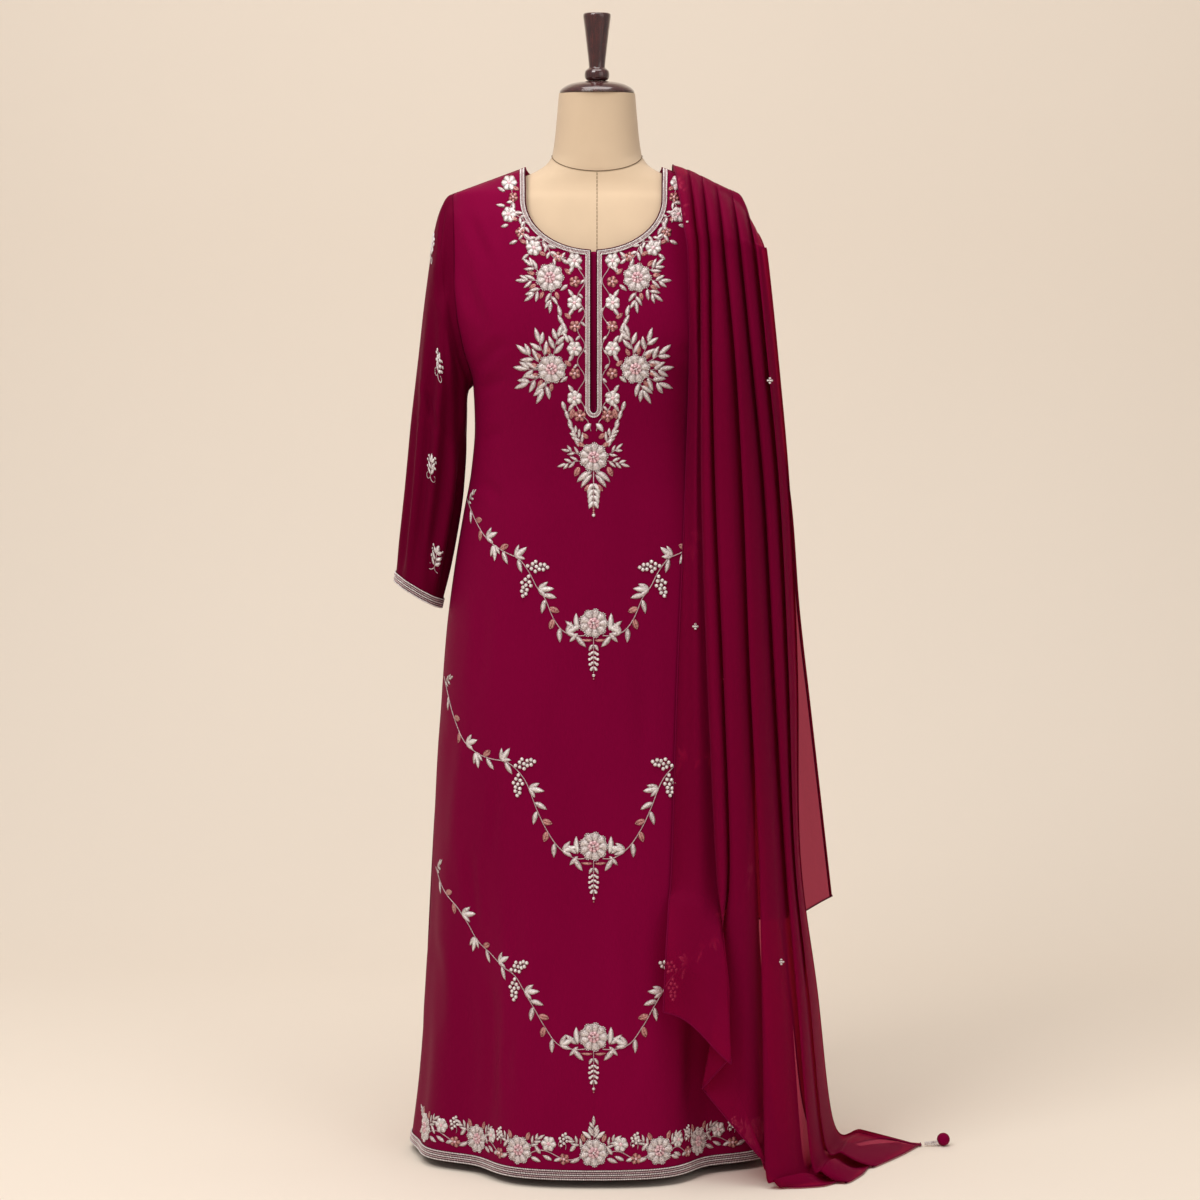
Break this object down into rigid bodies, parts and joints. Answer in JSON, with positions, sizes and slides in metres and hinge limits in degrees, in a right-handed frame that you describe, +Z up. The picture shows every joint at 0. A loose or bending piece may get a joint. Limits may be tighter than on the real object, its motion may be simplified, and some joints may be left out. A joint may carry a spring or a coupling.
{
  "type": "salwar kameez suit on a dress form",
  "caption": "Floor-length embroidered kameez with elbow sleeves and a sheer dupatta over one shoulder, worn by a limbless dress form on a round stand.",
  "frame": {"origin": "on the floor, under the middle of the stand's base", "axes": "+Z up, +X to the wearer's left (the dupatta's side), the front of the garment faces -Y"},
  "size_m": [0.7812, 0.443, 1.5829],
  "materials": {
    "kameez_georgette": "matt magenta-wine georgette with a soft sheen",
    "dupatta_chiffon": "sheer magenta-wine chiffon",
    "silver_beadwork": "silver, blush and copper bead and sequin work",
    "form_cloth": "beige cotton stretched over the form",
    "dark_wood": "dark mahogany, glossy lacquer",
    "stand_metal": "dark satin metal"
  },
  "bodies": {
    "root": {"kameez_front": "kameez_georgette", "kameez_back": "kameez_georgette", "slit_placket": "kameez_georgette", "sleeve_right": "kameez_georgette", "sleeve_left": "kameez_georgette", "neck_trim": "silver_beadwork", "hem_band_front": "silver_beadwork", "hem_band_back": "silver_beadwork", "cuff_band_right": "silver_beadwork", "cuff_band_left": "silver_beadwork", "dupatta_front": "dupatta_chiffon", "dupatta_tail": "dupatta_chiffon", "dupatta_shoulder": "dupatta_chiffon", "dupatta_back": "dupatta_chiffon", "tassel_beads": "silver_beadwork", "tassel_ball": "kameez_georgette", "form_body": "form_cloth", "neck_cap": "dark_wood", "finial": "dark_wood", "form_board": "dark_wood", "stand_pole": "stand_metal", "stand_base": "stand_metal"}
  },
  "joints": []
}
